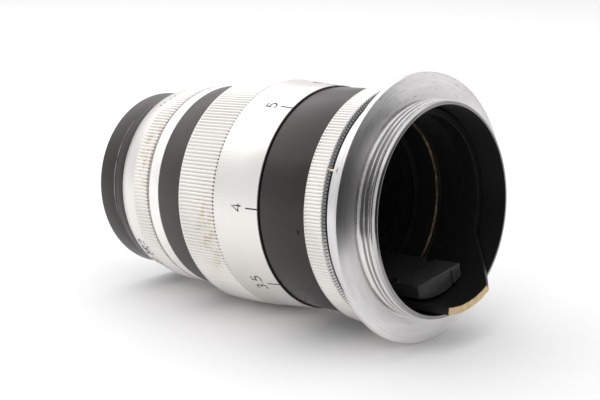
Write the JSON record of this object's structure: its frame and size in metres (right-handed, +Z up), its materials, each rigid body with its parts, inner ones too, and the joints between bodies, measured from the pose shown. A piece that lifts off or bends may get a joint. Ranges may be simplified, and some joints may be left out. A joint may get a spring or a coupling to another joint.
{
  "type": "screw-mount telephoto lens",
  "caption": "Short telephoto lens with a screw mount, turning focus helicoid with engraved distances, rangefinder cam, iris and filter rim.",
  "frame": {"origin": "bottom centre of the bounding box: below the optical axis by the flange's radius, half way between the cam tab and the front rim", "axes": "+Y along the optical axis from the front rim to the screw mount, +Z up, the axis level"},
  "size_m": [0.0486, 0.0768, 0.0486],
  "materials": {
    "flange_metal": "turned, polished rim",
    "satin_chrome": "satin",
    "black_gloss": "gloss",
    "black_satin": "satin",
    "black_matt": "matt",
    "cam_brass": "blackened, bare on the tab",
    "brass": "turned",
    "screw_steel": "plain",
    "blade_steel": "blued",
    "glass": "coated"
  },
  "bodies": {
    "fixed_barrel": {"mount_flange": "flange_metal", "flange_set_screw_1": "screw_steel", "flange_set_screw_2": "screw_steel", "flange_set_screw_3": "screw_steel", "outer_barrel": "black_gloss", "rear_grip_ring": "satin_chrome", "focus_stop_screw": "screw_steel", "guide_block": "black_matt", "guide_block_screw_1": "screw_steel", "guide_block_screw_2": "screw_steel"},
    "cam_sleeve": {"rangefinder_cam": "cam_brass"},
    "head": {"head_tube": "black_matt", "head_barrel": "black_gloss", "aperture_index_ring": "satin_chrome", "light_baffle": "black_matt", "rear_cell": "black_matt", "rear_spacer": "black_matt", "rear_retaining_ring": "black_matt", "rear_inner_element": "glass", "rear_outer_element": "glass", "front_cell": "black_satin", "filter_ring": "black_satin", "front_retaining_ring": "black_satin", "front_element": "glass", "second_element": "glass", "third_element": "glass", "iris_housing": "black_satin", "iris_cover": "black_matt"},
    "focus": {"focus_ring": "satin_chrome", "focus_helicoid": "brass", "focus_ring_screw_1": "screw_steel", "focus_ring_screw_2": "screw_steel", "focus_ring_screw_3": "screw_steel", "focus_ring_screw_4": "screw_steel", "helicoid_thrust_ring": "brass"},
    "aperture": {"aperture_ring": "satin_chrome", "iris_rotor": "brass", "aperture_drive_screw": "screw_steel"},
    "blade_01": {"iris_blade_01": "blade_steel"},
    "blade_02": {"iris_blade_02": "blade_steel"},
    "blade_03": {"iris_blade_03": "blade_steel"},
    "blade_04": {"iris_blade_04": "blade_steel"},
    "blade_05": {"iris_blade_05": "blade_steel"},
    "blade_06": {"iris_blade_06": "blade_steel"},
    "blade_07": {"iris_blade_07": "blade_steel"},
    "blade_08": {"iris_blade_08": "blade_steel"},
    "blade_09": {"iris_blade_09": "blade_steel"},
    "blade_10": {"iris_blade_10": "blade_steel"}
  },
  "joints": [
    {"name": "focus_lift", "type": "slide", "parent": "fixed_barrel", "child": "head", "axis": [0, -1, 0], "range_m": [0, 0.01167]},
    {"name": "focus_turn", "type": "hinge", "parent": "head", "child": "focus", "pos_m": [0, 0, 0.0243], "axis": [0, -1, 0], "range_deg": [0, 284.8]},
    {"name": "cam_slide", "type": "slide", "parent": "fixed_barrel", "child": "cam_sleeve", "axis": [0, -1, 0], "range_m": [0, 0.00262]},
    {"name": "aperture_turn", "type": "hinge", "parent": "head", "child": "aperture", "pos_m": [0, 0, 0.0243], "axis": [0, 1, 0], "range_deg": [0, 80.4]},
    {"name": "blade_pivot_01", "type": "hinge", "parent": "head", "child": "blade_01", "pos_m": [0.0131, -0.01891, 0.0243], "axis": [0, 1, 0], "range_deg": [0, 41]},
    {"name": "blade_pivot_02", "type": "hinge", "parent": "head", "child": "blade_02", "pos_m": [0.0106, -0.01891, 0.032], "axis": [0, 1, 0], "range_deg": [0, 41]},
    {"name": "blade_pivot_03", "type": "hinge", "parent": "head", "child": "blade_03", "pos_m": [0.00405, -0.01891, 0.03676], "axis": [0, 1, 0], "range_deg": [0, 41]},
    {"name": "blade_pivot_04", "type": "hinge", "parent": "head", "child": "blade_04", "pos_m": [-0.00405, -0.01891, 0.03676], "axis": [0, 1, 0], "range_deg": [0, 41]},
    {"name": "blade_pivot_05", "type": "hinge", "parent": "head", "child": "blade_05", "pos_m": [-0.0106, -0.01891, 0.032], "axis": [0, 1, 0], "range_deg": [0, 41]},
    {"name": "blade_pivot_06", "type": "hinge", "parent": "head", "child": "blade_06", "pos_m": [-0.0131, -0.01891, 0.0243], "axis": [0, 1, 0], "range_deg": [0, 41]},
    {"name": "blade_pivot_07", "type": "hinge", "parent": "head", "child": "blade_07", "pos_m": [-0.0106, -0.01891, 0.0166], "axis": [0, 1, 0], "range_deg": [0, 41]},
    {"name": "blade_pivot_08", "type": "hinge", "parent": "head", "child": "blade_08", "pos_m": [-0.00405, -0.01891, 0.01184], "axis": [0, 1, 0], "range_deg": [0, 41]},
    {"name": "blade_pivot_09", "type": "hinge", "parent": "head", "child": "blade_09", "pos_m": [0.00405, -0.01891, 0.01184], "axis": [0, 1, 0], "range_deg": [0, 41]},
    {"name": "blade_pivot_10", "type": "hinge", "parent": "head", "child": "blade_10", "pos_m": [0.0106, -0.01891, 0.0166], "axis": [0, 1, 0], "range_deg": [0, 41]}
  ],
  "couplings": [
    {"joint": "focus_turn", "follows": "focus_lift", "rad_per_m": 425.93},
    {"joint": "cam_slide", "follows": "focus_lift", "ratio": 0.2227},
    {"joint": "blade_pivot_01", "follows": "aperture_turn", "ratio": 0.5097},
    {"joint": "blade_pivot_02", "follows": "aperture_turn", "ratio": 0.5097},
    {"joint": "blade_pivot_03", "follows": "aperture_turn", "ratio": 0.5097},
    {"joint": "blade_pivot_04", "follows": "aperture_turn", "ratio": 0.5097},
    {"joint": "blade_pivot_05", "follows": "aperture_turn", "ratio": 0.5097},
    {"joint": "blade_pivot_06", "follows": "aperture_turn", "ratio": 0.5097},
    {"joint": "blade_pivot_07", "follows": "aperture_turn", "ratio": 0.5097},
    {"joint": "blade_pivot_08", "follows": "aperture_turn", "ratio": 0.5097},
    {"joint": "blade_pivot_09", "follows": "aperture_turn", "ratio": 0.5097},
    {"joint": "blade_pivot_10", "follows": "aperture_turn", "ratio": 0.5097}
  ]
}
